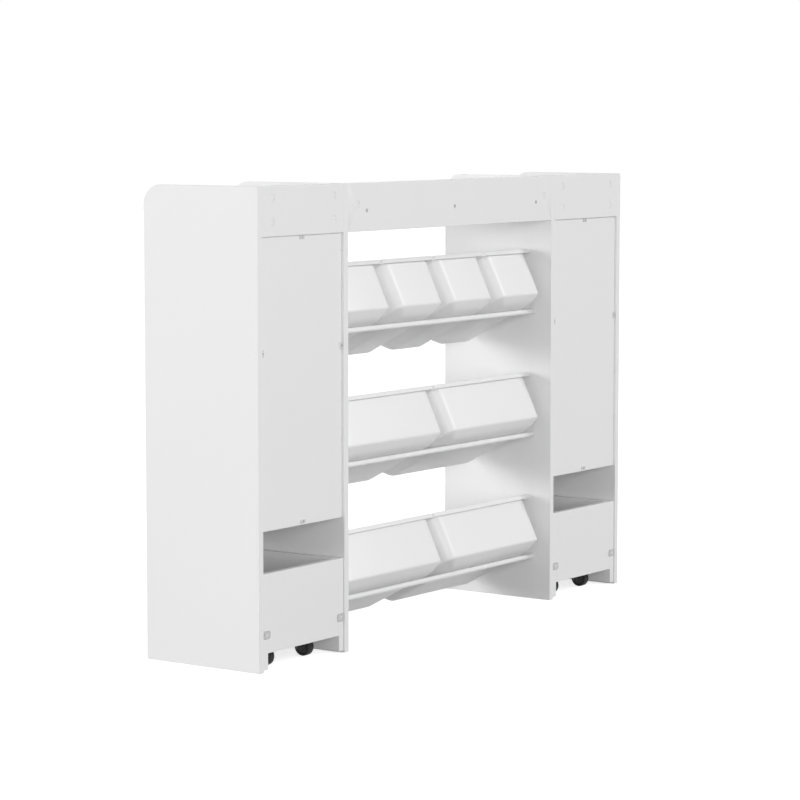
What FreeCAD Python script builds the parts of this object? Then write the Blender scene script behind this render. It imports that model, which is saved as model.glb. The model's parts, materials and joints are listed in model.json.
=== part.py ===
import FreeCAD, Part
import os
import re

import Sketcher

# Toy storage organizer: two shelf towers and, between them, three rows of tilted bins on rods.
# Under each tower a toy box rolls on casters.
# Frame: origin on the floor under the middle of the unit, +X to the right and +Z up seen from
# the front, +Y towards the back. Lengths are millimetres and angles are degrees.

Vector = FreeCAD.Vector
CLOSE = 0.001    # two lengths closer than this are the same
doc = FreeCAD.newDocument("toy_storage_organizer")

# ---------------------------------------------------------------- driving dimensions

SIZES = [
    ("board", 15.0, "thickness of the white boards"),
    ("total_height", 1000.0, "side panels, floor to top"),
    ("total_depth", 300.0, "side panels, front to back"),
    ("tower_clear", 281.0, "clear width inside a tower"),
    ("bay_clear", 805.0, "clear width of the bin bay"),
    ("corner_radius", 42.0, "rounded front top corner of the side panels"),
    ("shelf_setback", 2.0, "shelf fronts behind the panel fronts"),
    ("rail_height", 103.0, "rear rails, which also rim the top trays"),
    ("centre_tray_depth", 51.0, "top of the centre shelf below the rail top"),
    ("box_bay_height", 292.0, "floor to the underside of the box bay roof"),
    ("middle_shelf_height", 594.5, "middle of the middle shelf's thickness"),
    ("back_recess", 5.0, "back panels in front of the rear edges"),
    ("back_sheet", 3.0, "thickness of the back panels"),
    ("back_play", 0.5, "back panels short of the side panels"),
    ("rod_diameter", 12.0, "bin rods"),
    ("rod_socket_depth", 8.0, "blind bore that holds a rod's end"),
    ("rod_fit", 0.15, "radial play of a rod in its bore"),
    ("rod_end_play", 0.4, "rod's end to the bottom of its bore"),
    ("rod_rear_inset", 51.0, "rear rods in front of the rear plane"),
    ("lowest_rod_height", 102.0, "axis of the lowest rear rod"),
    ("row_pitch", 290.0, "height from one bin row to the next"),
    ("bin_tilt", 28.5, "degrees, bin floors falling to the front"),
    ("bin_floor_length", 232.0, "bin floor, rear to front, corners sharp"),
    ("bin_height", 124.5, "bin floor to the top of its lip"),
    ("bin_draft", 3.0, "degrees, lean of the bin walls"),
    ("bin_wall", 2.5, "bin wall"),
    ("bin_corner", 22.0, "upright corner of a bin, at the floor"),
    ("bin_foot_bevel", 15.0, "bevel between bin floor and walls"),
    ("lip_reach", 6.5, "bin lip beyond the wall"),
    ("lip_drop", 7.5, "bin lip's skirt, top to bottom"),
    ("lip_wall", 2.2, "thickness of the lip and its skirt"),
    ("bin_gap", 2.5, "between the lips of two neighbours"),
    ("bin_rest_gap", 0.3, "bin to the rods that carry it"),
    ("rear_rod_along", 51.0, "rear rod from the bin's rear foot, along the floor"),
    ("box_play", 2.0, "rolling box to the tower, each side"),
    ("box_rear_gap", 2.0, "rolling box in front of the rear plane"),
    ("box_front_setback", 1.0, "box front behind the panel fronts"),
    ("box_side_lift", 5.0, "box sides above the floor"),
    ("box_side_top", 205.0, "top edge of the box sides and rear wall"),
    ("box_front_lift", 8.0, "box front above the floor"),
    ("box_front_gap", 5.0, "box front below the roof of its bay"),
    ("box_back_lift", 39.0, "box rear wall above the floor"),
    ("box_floor_sheet", 9.0, "thickness of the box floor"),
    ("grip_width", 96.0, "grip hole in the box front"),
    ("grip_height", 30.0, "grip hole in the box front"),
    ("grip_round", 14.5, "corners of the grip hole"),
    ("grip_drop", 34.0, "box front's top edge to the grip hole"),
    ("caster_height", 52.0, "floor to the top of a caster plate"),
    ("wheel_diameter", 40.0, "caster wheel"),
    ("wheel_width", 18.0, "caster wheel"),
    ("wheel_play", 0.6, "wheel to the fork, each side"),
    ("caster_trail", 10.0, "wheel axle behind the swivel axis"),
    ("caster_side_inset", 70.0, "swivel axis from the box's side face"),
    ("caster_rear_inset", 42.0, "swivel axis from the box's rear face"),
    ("caster_front_inset", 47.0, "swivel axis from the box's front face"),
    ("plate_side", 38.0, "square caster plate"),
    ("plate_sheet", 2.5, "thickness of a caster plate"),
    ("swivel_gap", 0.4, "caster plate to the fork's crown"),
    ("crown_side", 30.0, "square crown of a caster fork"),
    ("fork_foot", 14.0, "fork cheek, front to back, at its lower end"),
    ("fork_foot_drop", 7.0, "fork cheek below the axle"),
    ("crown_sheet", 3.5, "thickness of the fork's crown"),
    ("fork_wall", 2.6, "cheek of a caster fork"),
    ("axle_diameter", 6.0, "caster axle"),
    ("king_pin", 8.0, "diameter of the swivel pin"),
    ("turning_fit", 0.05, "radial play of a shaft in its bore"),
    ("stop_width", 24.0, "leg of a stop bracket behind the box"),
    ("stop_height", 17.0, "stop bracket"),
    ("stop_sheet", 1.2, "sheet of a stop bracket"),
    ("stop_leg", 18.0, "leg of a stop bracket on the tower's side"),
    ("stop_level", 78.0, "middle of a stop bracket above the floor"),
    ("stop_clearance", 0.4, "stop bracket behind the box"),
    ("clip_length", 16.0, "clip that holds a back panel"),
    ("clip_width", 8.0, "clip that holds a back panel"),
    ("clip_sheet", 2.0, "thickness of a back panel clip"),
    ("side_clip_height", 659.0, "clips on the upright edges of a back panel"),
]

sheet = doc.addObject("Spreadsheet::Sheet", "Sizes")
for row, (alias, size, meaning) in enumerate(SIZES, start=1):
    sheet.set(f"A{row}", meaning)
    sheet.set(f"B{row}", str(size))
    sheet.setAlias(f"B{row}", alias)
doc.recompute()

# Lengths that follow from the driving dimensions.
DERIVED = {
    "rear": "total_depth / 2",
    "front": "-total_depth / 2",
    "tower_x": "bay_clear / 2 + board + tower_clear / 2",
    "inner_panel_x": "bay_clear / 2",
    "outer_panel_x": "bay_clear / 2 + board + tower_clear",
    "tray_floor": "total_height - rail_height",
    "top_shelf_mid": "tray_floor - board / 2",
    "roof_mid": "box_bay_height + board / 2",
    "centre_shelf_top": "total_height - centre_tray_depth",
    "centre_shelf_mid": "centre_shelf_top - board / 2",
    "back_rear": "rear - back_recess",
    "tower_shelf_rear": "back_rear - back_sheet",
    "tower_shelf_front": "front + shelf_setback",
    "tower_shelf_depth": "tower_shelf_rear - tower_shelf_front",
    "tower_shelf_y": "(tower_shelf_rear + tower_shelf_front) / 2",
    "centre_shelf_depth": "rear - board - tower_shelf_front",
    "centre_shelf_y": "(rear - board + tower_shelf_front) / 2",
    "rail_mid_y": "rear - board / 2",
    "rod_radius": "rod_diameter / 2",
    "rod_offset": "rod_radius + bin_rest_gap",
    "bin_rear_y": "rear - rod_rear_inset + rear_rod_along * cos(bin_tilt) - rod_offset * sin(bin_tilt)",
    "bin_rear_rise": "rear_rod_along * sin(bin_tilt) + rod_offset * cos(bin_tilt)",
    "front_rod_up": "bin_height - lip_drop - rod_offset",
    "front_rod_along": "bin_floor_length + front_rod_up * tan(bin_draft) + rod_offset / cos(bin_draft)",
    "front_rod_y": "bin_rear_y - front_rod_along * cos(bin_tilt) - front_rod_up * sin(bin_tilt)",
    "front_rod_rise": "bin_rear_rise - front_rod_along * sin(bin_tilt) + front_rod_up * cos(bin_tilt)",
    "box_width": "tower_clear - 2 * box_play",
    "box_rear": "rear - box_rear_gap",
    "box_front": "front + box_front_setback",
    "box_inner_width": "box_width - 2 * board",
    "box_inner_front": "box_front + board",
    "box_inner_rear": "box_rear - board",
    "box_inner_y": "(box_inner_front + box_inner_rear) / 2",
    "box_front_top": "box_bay_height - box_front_gap",
    "wheel_radius": "wheel_diameter / 2",
    "crown_top": "caster_height - plate_sheet - swivel_gap",
    "crown_foot": "crown_top - crown_sheet",
    "fork_inner": "wheel_width + 2 * wheel_play",
    "fork_outer": "fork_inner + 2 * fork_wall",
}
ALIASES = {alias for alias, size, meaning in SIZES}


def formula(text):
    """Spell out a formula in the sheet's own cells."""
    def spell(match):
        word = match.group(0)
        if word in DERIVED:
            return "(" + formula(DERIVED[word]) + ")"
        return "Sizes." + word if word in ALIASES else word
    return re.sub(r"[a-z_]+", spell, str(text))


def value(text):
    """The number that a formula gives now."""
    result = sheet.evalExpression(formula(text))
    return float(getattr(result, "Value", result))


def bind(thing, prop, text):
    """Tie a property to the sheet."""
    thing.setExpression(prop, formula(text))


def place(thing, x="0", y="0", z="0"):
    """Tie an object's position to the sheet."""
    for axis, text in zip("xyz", (x, y, z)):
        bind(thing, "Placement.Base." + axis, text)


# ---------------------------------------------------------------- sketches

ORIGIN_PLANES = {"XY": "XY_Plane", "XZ": "XZ_Plane", "YZ": "YZ_Plane"}


def new_sketch(body, name, plane, offset="0"):
    """A sketch on one of the body's own origin planes, moved along the plane's normal."""
    sketch = body.newObject("Sketcher::SketchObject", name)
    role = ORIGIN_PLANES[plane]
    support = [item for item in body.Origin.OriginFeatures if item.Role == role][0]
    sketch.AttachmentSupport = [(support, "")]
    sketch.MapMode = "FlatFace"
    bind(sketch, "AttachmentOffset.Base.z", offset)
    return sketch


def dimension(sketch, text, kind, *where):
    """Add one dimension to a sketch and tie it to the sheet."""
    index = sketch.addConstraint(Sketcher.Constraint(kind, *where, value(text)))
    name = f"{kind}_{index}"
    sketch.renameConstraint(index, name)
    bind(sketch, "Constraints." + name, text)


def add_circle(sketch, x, y, radius):
    """A circle with its centre measured from the sketch's origin."""
    centre = Vector(value(x), value(y), 0)
    curve = sketch.addGeometry(Part.Circle(centre, Vector(0, 0, 1), value(radius)), False)
    dimension(sketch, x, "DistanceX", -1, 1, curve, 3)
    dimension(sketch, y, "DistanceY", -1, 1, curve, 3)
    dimension(sketch, radius, "Radius", curve)


def add_rectangle(sketch, low_x, high_x, low_y, high_y, rounds=("0", "0", "0", "0")):
    """A rectangle whose corners may be rounded: low-low, high-low, high-high, low-high."""
    x0, x1, y0, y1 = (value(text) for text in (low_x, high_x, low_y, high_y))
    radii = [value(text) for text in rounds]
    corners = [Vector(x0, y0, 0), Vector(x1, y0, 0), Vector(x1, y1, 0), Vector(x0, y1, 0)]
    sides = [Vector(1, 0, 0), Vector(0, 1, 0), Vector(-1, 0, 0), Vector(0, -1, 0)]
    lines = []
    for index in range(4):
        start = corners[index] + sides[index] * radii[index]
        end = corners[(index + 1) % 4] - sides[index] * radii[(index + 1) % 4]
        lines.append(sketch.addGeometry(Part.LineSegment(start, end), False))
        direction = "Horizontal" if index % 2 == 0 else "Vertical"
        sketch.addConstraint(Sketcher.Constraint(direction, lines[index]))
    for index in range(4):
        before, after = lines[index - 1], lines[index]
        if radii[index] == 0:
            sketch.addConstraint(Sketcher.Constraint("Coincident", before, 2, after, 1))
            continue
        incoming, outgoing = sides[index - 1], sides[index]
        centre = corners[index] + (outgoing - incoming) * radii[index]
        middle = centre - (outgoing - incoming).normalize() * radii[index]
        first = corners[index] - incoming * radii[index]
        last = corners[index] + outgoing * radii[index]
        arc = sketch.addGeometry(Part.Arc(first, middle, last), False)
        sketch.addConstraint(Sketcher.Constraint("Tangent", before, 2, arc, 1))
        sketch.addConstraint(Sketcher.Constraint("Tangent", arc, 2, after, 1))
        dimension(sketch, rounds[index], "Radius", arc)
    dimension(sketch, low_y, "DistanceY", -1, 1, lines[0], 1)
    dimension(sketch, high_x, "DistanceX", -1, 1, lines[1], 1)
    dimension(sketch, high_y, "DistanceY", -1, 1, lines[2], 1)
    dimension(sketch, low_x, "DistanceX", -1, 1, lines[3], 1)


# ---------------------------------------------------------------- features

def settle(body):
    """Recompute one body's new features, so that the next one can read its shape."""
    doc.recompute([item for item in body.Group if "Touched" in item.State] + [body])


def new_body(label):
    """An empty body with its own label, which names its file."""
    body = doc.addObject("PartDesign::Body", label)
    body.Label = label
    return body


def pad(body, name, sketch, length, midplane=False, backwards=False):
    """Pad a sketch along its normal."""
    feature = body.newObject("PartDesign::Pad", name)
    feature.Profile = sketch
    feature.Midplane = midplane
    feature.Reversed = backwards
    bind(feature, "Length", length)
    return feature


def pocket(body, name, sketch, depth, along_normal=False, midplane=False, taper="0"):
    """Cut a sketch into the body, and make sure that it took material away."""
    settle(body)
    before = body.Shape.Volume
    feature = body.newObject("PartDesign::Pocket", name)
    feature.Profile = sketch
    feature.Midplane = midplane
    feature.Reversed = along_normal
    bind(feature, "Length", depth)
    bind(feature, "TaperAngle", taper)
    settle(body)
    if not body.Shape.Volume < before - 1e-6:
        raise RuntimeError(f"{body.Label}: {name} cuts nothing")
    return feature


def bevel_level_edges(body, name, base, level, size):
    """Bevel every edge that lies flat at one height of the body."""
    height = value(level)
    edges = [f"Edge{number}" for number, edge in enumerate(base.Shape.Edges, start=1)
             if abs(edge.BoundBox.ZMin - height) < CLOSE and abs(edge.BoundBox.ZMax - height) < CLOSE]
    bevel = body.newObject("PartDesign::Chamfer", name)
    bevel.Base = (base, edges)
    bind(bevel, "Size", size)
    settle(body)
    return bevel


def flat_sheet(label, length, depth, thickness, x, y, underside):
    """A level board, centred on x and y."""
    body = new_body(label)
    outline = new_sketch(body, label + "_outline", "XY")
    add_rectangle(outline, f"-({length}) / 2", f"({length}) / 2", f"-({depth}) / 2", f"({depth}) / 2")
    pad(body, label + "_sheet", outline, thickness)
    place(body, x, y, underside)
    return body


def upright_sheet(label, width, low_z, high_z, thickness, x, rear_face):
    """A board that stands across the unit, its rear face at one depth."""
    body = new_body(label)
    outline = new_sketch(body, label + "_outline", "XZ")
    add_rectangle(outline, f"-({width}) / 2", f"({width}) / 2", low_z, high_z)
    pad(body, label + "_sheet", outline, thickness)
    place(body, x, rear_face)
    return body


def grouped(label, members):
    """Several solids of one kind as one sub-part."""
    group = doc.addObject("Part::Compound", label)
    group.Links = members
    group.Label = label
    return group


# ---------------------------------------------------------------- side panels

SIDES = (("left", "-1"), ("right", "1"))
ROWS = (("bottom", "0", "12"), ("middle", "1", "12"), ("top", "2", "1234"))


def row_height(level):
    """Axis of a row's rear rod above the floor."""
    return f"lowest_rod_height + {level} * row_pitch"


def side_panel(label, low_x):
    """A full-height side panel with a rounded front top corner."""
    body = new_body(label)
    outline = new_sketch(body, label + "_outline", "YZ")
    add_rectangle(outline, "front", "rear", "0", "total_height", ("0", "0", "0", "corner_radius"))
    pad(body, label + "_sheet", outline, "board")
    place(body, low_x)
    return body


def seat_rods(body, name, bay_face, into_board):
    """Blind bores in the bay side of a panel, one for the end of each bin rod."""
    seats = new_sketch(body, name + "_places", "YZ", bay_face)
    for row_name, level, bin_names in ROWS:
        add_circle(seats, "rear - rod_rear_inset", row_height(level), "rod_radius + rod_fit")
        add_circle(seats, "front_rod_y", f"{row_height(level)} + front_rod_rise", "rod_radius + rod_fit")
    pocket(body, name, seats, "rod_socket_depth", along_normal=into_board)


inner_left = side_panel("inner_panel_left", "-inner_panel_x - board")
inner_right = side_panel("inner_panel_right", "inner_panel_x")
seat_rods(inner_left, "left_rod_sockets", "board", False)
seat_rods(inner_right, "right_rod_sockets", "0", True)
parts = [
    side_panel("outer_panel_left", "-outer_panel_x - board"),
    inner_left,
    inner_right,
    side_panel("outer_panel_right", "outer_panel_x"),
]

# ---------------------------------------------------------------- shelves, rails and backs

for side, sign in SIDES:
    tower = f"{sign} * tower_x"
    for name, mid_z in (("top_shelf", "top_shelf_mid"), ("middle_shelf", "middle_shelf_height"),
                        ("box_bay_roof", "roof_mid")):
        parts.append(flat_sheet(f"{name}_{side}", "tower_clear", "tower_shelf_depth", "board",
                                tower, "tower_shelf_y", f"{mid_z} - board / 2"))
    parts.append(upright_sheet(f"rear_rail_{side}", "tower_clear", "tray_floor", "total_height", "board",
                               tower, "rear"))
    parts.append(upright_sheet(f"back_panel_{side}", "tower_clear - 2 * back_play", "box_bay_height",
                               "tray_floor", "back_sheet", tower, "back_rear"))

parts.append(flat_sheet("top_shelf_centre", "bay_clear", "centre_shelf_depth", "board",
                        "0", "centre_shelf_y", "centre_shelf_top - board"))
parts.append(upright_sheet("rear_rail_centre", "bay_clear", "tray_floor", "total_height", "board",
                           "0", "rear"))


def block(name, length, width, height, x, y, z):
    """A plain block with one corner at x, y, z."""
    solid = doc.addObject("Part::Box", name)
    bind(solid, "Length", length)
    bind(solid, "Width", width)
    bind(solid, "Height", height)
    place(solid, x, y, z)
    return solid


# Clips lie on the rear of each back panel, in the middle of its ends and on its upright edges.
clips = []
for side, sign in SIDES:
    tower = f"{sign} * tower_x"
    for name, level in (("high", "tray_floor - clip_width / 2 - back_play"), ("low", "roof_mid")):
        clips.append(block(f"clip_{side}_{name}", "clip_length", "clip_sheet", "clip_width",
                           f"{tower} - clip_length / 2", "back_rear", f"{level} - clip_width / 2"))
    edge = "tower_clear / 2 - back_play"
    for name, low_x in (("low_x", f"{tower} - ({edge})"), ("high_x", f"{tower} + {edge} - clip_width")):
        clips.append(block(f"clip_{side}_{name}", "clip_width", "clip_sheet", "clip_length",
                           low_x, "back_rear", "side_clip_height - clip_length / 2"))
parts.append(grouped("back_clips", clips))

# ---------------------------------------------------------------- bin rods

def rods_of_all_rows(label, y, rise):
    """The three rods of one kind, each with its ends in a pair of blind bores."""
    rods = []
    for row_name, level, bin_names in ROWS:
        rod = doc.addObject("Part::Cylinder", f"{label}_{row_name}")
        bind(rod, "Radius", "rod_radius")
        bind(rod, "Height", "bay_clear + 2 * (rod_socket_depth - rod_end_play)")
        rod.Placement = FreeCAD.Placement(Vector(0, 0, 0), FreeCAD.Rotation(Vector(0, 1, 0), 90))
        place(rod, "-bay_clear / 2 - rod_socket_depth + rod_end_play", y, f"{row_height(level)} + {rise}")
        rods.append(rod)
    return grouped(label, rods)


parts.append(rods_of_all_rows("rear_rods", "rear - rod_rear_inset", "0"))
parts.append(rods_of_all_rows("front_rods", "front_rod_y", "front_rod_rise"))

# ---------------------------------------------------------------- stop brackets

def stop_bracket(name, panel_face, reach_up):
    """Angle of thin sheet: one leg on the panel, the other behind the box's rear edge."""
    hook_y = "box_rear + stop_clearance"
    low_z = "stop_level - stop_height / 2"
    hook_x = panel_face if reach_up else f"{panel_face} - stop_width"
    leg_x = panel_face if reach_up else f"{panel_face} - stop_sheet"
    hook = block(name + "_hook", "stop_width", "stop_sheet", "stop_height", hook_x, hook_y, low_z)
    leg = block(name + "_leg", "stop_sheet", "stop_leg", "stop_height",
                leg_x, f"{hook_y} + stop_sheet - stop_leg", low_z)
    bracket = doc.addObject("Part::MultiFuse", name)
    bracket.Shapes = [hook, leg]
    bracket.Refine = True
    return bracket


stops = []
for side, sign in SIDES:
    tower = f"{sign} * tower_x"
    stops.append(stop_bracket(f"stop_{side}_low", f"{tower} - tower_clear / 2", True))
    stops.append(stop_bracket(f"stop_{side}_high", f"{tower} + tower_clear / 2", False))
parts.append(grouped("box_stops", stops))

# ---------------------------------------------------------------- bins

def storage_bin(label, x, level, width):
    """A moulded bin: drafted walls, bevelled foot, round upright corners and a turned-down lip."""
    body = new_body(label)
    half_lip = f"({width}) / 2"
    flare = "bin_height * tan(bin_draft)"
    half_floor = f"{half_lip} - lip_reach - {flare}"
    floor = new_sketch(body, label + "_floor", "XY")
    add_rectangle(floor, f"-({half_floor})", half_floor, "-bin_floor_length", "0", ("bin_corner",) * 4)
    solid = pad(body, label + "_block", floor, "bin_height")
    bind(solid, "TaperAngle", "bin_draft")
    settle(body)
    inset = "bin_wall / cos(bin_draft) - bin_wall * tan(bin_draft)"
    half_hollow = f"{half_floor} - ({inset})"
    hollow = new_sketch(body, label + "_hollow_outline", "XY", "bin_wall")
    add_rectangle(hollow, f"-({half_hollow})", half_hollow, f"-bin_floor_length + {inset}", f"-({inset})",
                  (f"bin_corner - ({inset})",) * 4)
    cavity = pocket(body, label + "_hollow", hollow, "bin_height", along_normal=True, taper="bin_draft")
    inner_foot = bevel_level_edges(body, label + "_inner_foot", cavity, "bin_wall",
                                   "bin_foot_bevel - bin_wall / 2")
    bevel_level_edges(body, label + "_foot", inner_foot, "0", "bin_foot_bevel")
    rear_lip = f"(lip_reach + {flare})"
    lip = new_sketch(body, label + "_lip_outline", "XY", "bin_height")
    add_rectangle(lip, f"-({half_lip})", half_lip, f"-bin_floor_length - {rear_lip}", rear_lip)
    half_mouth = f"{half_lip} - lip_reach - bin_wall / 2"
    mouth_edge = f"({flare} - bin_wall / 2)"
    add_rectangle(lip, f"-({half_mouth})", half_mouth, f"-bin_floor_length - {mouth_edge}", mouth_edge,
                  (f"bin_corner + {mouth_edge}",) * 4)
    pad(body, label + "_lip", lip, "lip_wall", backwards=True)
    skirt = new_sketch(body, label + "_skirt_outline", "XY", "bin_height")
    add_rectangle(skirt, f"-({half_lip})", half_lip, f"-bin_floor_length - {rear_lip}", rear_lip)
    half_skirt = f"{half_lip} - lip_wall"
    skirt_edge = f"({rear_lip} - lip_wall)"
    add_rectangle(skirt, f"-({half_skirt})", half_skirt, f"-bin_floor_length - {skirt_edge}", skirt_edge)
    pad(body, label + "_skirt", skirt, "lip_drop", backwards=True)
    body.Placement = FreeCAD.Placement(Vector(0, 0, 0), FreeCAD.Rotation(Vector(1, 0, 0), 1))
    bind(body, "Placement.Rotation.Angle", "bin_tilt")
    place(body, x, "bin_rear_y", f"{row_height(level)} + bin_rear_rise")
    return body


for row_name, level, bin_names in ROWS:
    pitch = f"bay_clear / {len(bin_names)}"
    first_x = f"({pitch} - bay_clear) / 2"
    for place_in_row, bin_name in enumerate(bin_names):
        parts.append(storage_bin(f"bin_{row_name}_{bin_name}", f"{first_x} + {place_in_row} * {pitch}",
                                 level, f"{pitch} - bin_gap"))

# ---------------------------------------------------------------- rolling boxes

def box_front(label, x):
    """Tall front of the box, with a long round-ended grip hole."""
    body = upright_sheet(label, "box_width", "box_front_lift", "box_front_top", "board", x, "box_inner_front")
    settle(body)
    grip = new_sketch(body, label + "_grip_outline", "XZ")
    high = "box_front_top - grip_drop"
    add_rectangle(grip, "-grip_width / 2", "grip_width / 2", f"{high} - grip_height", high,
                  ("grip_round",) * 4)
    pocket(body, label + "_grip", grip, "board", along_normal=True)
    return body


def box_sides(label, x):
    """The two side walls of a box."""
    walls = []
    for hand, low_x in (("low", "-box_width / 2"), ("high", "box_width / 2 - board")):
        walls.append(block(f"{label}_{hand}", "board", "box_rear - box_inner_front",
                           "box_side_top - box_side_lift", f"{x} + {low_x}", "box_inner_front",
                           "box_side_lift"))
    return grouped(label, walls)


# ---------------------------------------------------------------- casters

CORNERS = (
    ("front_outer", "1", "box_front + caster_front_inset"),
    ("front_inner", "-1", "box_front + caster_front_inset"),
    ("rear_outer", "1", "box_rear - caster_rear_inset"),
    ("rear_inner", "-1", "box_rear - caster_rear_inset"),
)


def caster_plate(label, x, y):
    """Square plate under the box floor, with the pin on which the fork turns."""
    body = new_body(label)
    half = "plate_side / 2"
    outline = new_sketch(body, label + "_outline", "XY", "caster_height - plate_sheet")
    add_rectangle(outline, f"-{half}", half, f"-{half}", half)
    pad(body, label + "_sheet", outline, "plate_sheet")
    stem = new_sketch(body, label + "_stem", "XY", "caster_height - plate_sheet")
    add_circle(stem, "0", "0", "king_pin / 2")
    pad(body, label + "_pin", stem, "swivel_gap + crown_sheet", backwards=True)
    place(body, x, y)
    return body


def cheek_outline(sketch):
    """Side view of a fork's cheek: as wide as the crown at the top, narrow at the axle."""
    corners = [
        ("-crown_side / 2", "crown_foot"),
        ("-caster_trail - fork_foot / 2", "wheel_radius - fork_foot_drop"),
        ("-caster_trail + fork_foot / 2", "wheel_radius - fork_foot_drop"),
        ("crown_side / 2", "crown_foot"),
    ]
    points = [Vector(value(y), value(z), 0) for y, z in corners]
    lines = []
    for index, start in enumerate(points):
        end = points[(index + 1) % len(points)]
        lines.append(sketch.addGeometry(Part.LineSegment(start, end), False))
    for index, (y, z) in enumerate(corners):
        sketch.addConstraint(Sketcher.Constraint("Coincident", lines[index - 1], 2, lines[index], 1))
        dimension(sketch, y, "DistanceX", -1, 1, lines[index], 1)
        dimension(sketch, z, "DistanceY", -1, 1, lines[index], 1)


def caster_fork(label, x, y):
    """Swivelling fork: bored crown, two tapered cheeks and the axle between them."""
    body = new_body(label)
    half = "crown_side / 2"
    crown = new_sketch(body, label + "_crown_outline", "XY", "crown_foot")
    add_rectangle(crown, f"-{half}", half, f"-{half}", half)
    pad(body, label + "_crown", crown, "crown_sheet")
    cheeks = new_sketch(body, label + "_cheek_outline", "YZ")
    cheek_outline(cheeks)
    pad(body, label + "_cheeks", cheeks, "fork_outer", midplane=True)
    gap = new_sketch(body, label + "_gap_outline", "XZ")
    add_rectangle(gap, "-fork_inner / 2", "fork_inner / 2", "0", "crown_foot")
    pocket(body, label + "_gap", gap, "2 * crown_side", midplane=True)
    bore = new_sketch(body, label + "_bore_outline", "XY", "crown_foot")
    add_circle(bore, "0", "0", "king_pin / 2 + turning_fit")
    pocket(body, label + "_bore", bore, "crown_sheet", along_normal=True)
    axle = new_sketch(body, label + "_axle_outline", "YZ")
    add_circle(axle, "-caster_trail", "wheel_radius", "axle_diameter / 2")
    pad(body, label + "_axle", axle, "fork_inner", midplane=True)
    place(body, x, y)
    return body


def caster_wheel(label, x, y):
    """Wheel with a plain bore."""
    body = new_body(label)
    tread = new_sketch(body, label + "_tread_outline", "YZ")
    add_circle(tread, "0", "0", "wheel_radius")
    pad(body, label + "_tread", tread, "wheel_width", midplane=True)
    bore = new_sketch(body, label + "_bore_outline", "YZ", "-wheel_width / 2")
    add_circle(bore, "0", "0", "axle_diameter / 2 + turning_fit")
    pocket(body, label + "_bore", bore, "wheel_width", along_normal=True)
    place(body, x, f"{y} - caster_trail", "wheel_radius")
    return body


for side, sign in SIDES:
    tower = f"{sign} * tower_x"
    parts.append(box_front(f"box_front_{side}", tower))
    parts.append(upright_sheet(f"box_rear_wall_{side}", "box_inner_width", "box_back_lift",
                               "box_side_top", "board", tower, "box_rear"))
    parts.append(box_sides(f"box_sides_{side}", tower))
    parts.append(flat_sheet(f"box_floor_{side}", "box_inner_width", "box_inner_rear - box_inner_front",
                            "box_floor_sheet", tower, "box_inner_y", "caster_height"))
    plates = []
    for corner, outward, spot_y in CORNERS:
        spot_x = f"{tower} + {sign} * {outward} * (box_width / 2 - caster_side_inset)"
        plates.append(caster_plate(f"plate_{side}_{corner}", spot_x, spot_y))
        parts.append(caster_fork(f"caster_fork_{side}_{corner}", spot_x, spot_y))
        parts.append(caster_wheel(f"caster_wheel_{side}_{corner}", spot_x, spot_y))
    parts.append(grouped(f"caster_plates_{side}", plates))

# ---------------------------------------------------------------- check and write

doc.recompute()
for item in doc.Objects:
    if "Invalid" in item.State or "Error" in item.State:
        raise RuntimeError(f"{item.Label} failed: {item.State}")
for part in parts:
    if part.Shape.isNull() or not part.Shape.isValid():
        raise RuntimeError(f"{part.Label} has no valid shape")

os.makedirs("parts", exist_ok=True)
for part in parts:
    part.Shape.exportStep(f"parts/{part.Label}.step")
print(len(parts), "sub-parts written")
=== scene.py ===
# %% [markdown]
# # A toy storage organizer with tilted bins
#
# The real piece is nursery furniture: white boards, two shelf towers with a rolling toy box under
# each, and rows of plastic bins that lie tilted on steel rods between the towers. The measured
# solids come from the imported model, so this lesson only gives them their looks: softened board
# edges, moulded bins, casters, small fittings, materials, light and a camera.

# %% Load the measured model
import json
import math

import bmesh
import bpy
from mathutils import Matrix, Vector


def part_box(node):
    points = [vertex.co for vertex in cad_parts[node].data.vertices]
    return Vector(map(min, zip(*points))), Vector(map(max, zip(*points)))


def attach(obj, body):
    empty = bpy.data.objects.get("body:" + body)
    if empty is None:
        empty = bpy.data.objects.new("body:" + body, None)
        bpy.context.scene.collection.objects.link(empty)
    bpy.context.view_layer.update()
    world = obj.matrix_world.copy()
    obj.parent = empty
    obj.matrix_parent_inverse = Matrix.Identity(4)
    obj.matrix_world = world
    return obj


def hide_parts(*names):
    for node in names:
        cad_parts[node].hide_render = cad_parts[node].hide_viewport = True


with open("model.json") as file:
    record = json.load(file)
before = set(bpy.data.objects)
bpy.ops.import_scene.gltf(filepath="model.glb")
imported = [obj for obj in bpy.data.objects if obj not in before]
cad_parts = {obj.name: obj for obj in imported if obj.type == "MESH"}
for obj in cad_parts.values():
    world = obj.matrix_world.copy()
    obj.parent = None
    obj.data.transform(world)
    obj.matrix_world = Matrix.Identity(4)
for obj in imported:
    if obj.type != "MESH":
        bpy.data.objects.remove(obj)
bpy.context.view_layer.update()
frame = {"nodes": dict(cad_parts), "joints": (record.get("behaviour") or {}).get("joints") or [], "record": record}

MM = 0.001
body_of_node = {node: body for body, nodes in frame["record"]["behaviour"]["bodies"].items()
                for node in nodes}
slot_of_node = {entry["node"]: entry["material_slot"] for entry in frame["record"]["subparts"]}


def nodes_named(start):
    """The measured solids whose names start with some words, in order."""
    return [node for node in sorted(frame["nodes"]) if node.startswith(start)]


# %% [markdown]
# ## Shader maths as plain expressions
#
# A material is a small program made of nodes. Wiring each Math node by hand hides the idea, so a
# socket is wrapped in a class whose operators add the nodes: `0.4 + 0.1 * mask` then reads as it
# would on paper. Any other node comes from one method, `node`, which takes the node's type, its
# settings, and the values or links of its sockets.

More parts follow.
